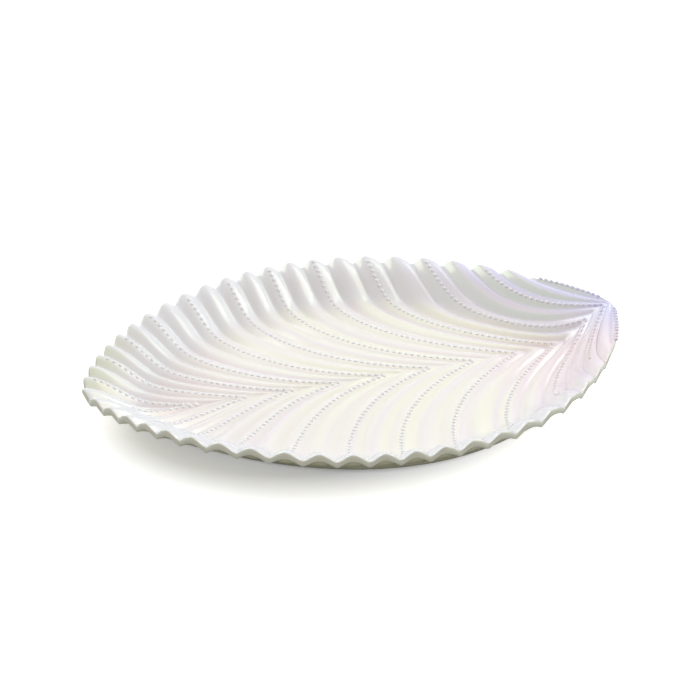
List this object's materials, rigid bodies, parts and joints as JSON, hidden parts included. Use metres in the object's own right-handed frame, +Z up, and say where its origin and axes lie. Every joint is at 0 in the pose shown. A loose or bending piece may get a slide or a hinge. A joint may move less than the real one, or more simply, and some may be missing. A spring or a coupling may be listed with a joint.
{
  "type": "decorative platter",
  "caption": "Leaf-shaped shallow platter of pressed opal glass with a scalloped, fluted rim, ribs that fan from the midrib and a pearl lustre, standing on a flat foot.",
  "frame": {"origin": "middle of the leaf's length and width, on the plane that the platter stands on", "axes": "+X along the midrib from the leaf tip to the stem tip, +Y across the leaf, +Z up out of the well"},
  "size_m": [0.33, 0.268, 0.0331],
  "materials": {
    "opal_glass": "opaque warm white, glossy, with a thin iridescent pearl lustre"
  },
  "bodies": {
    "root": {"leaf_platter": "opal_glass"}
  },
  "joints": []
}
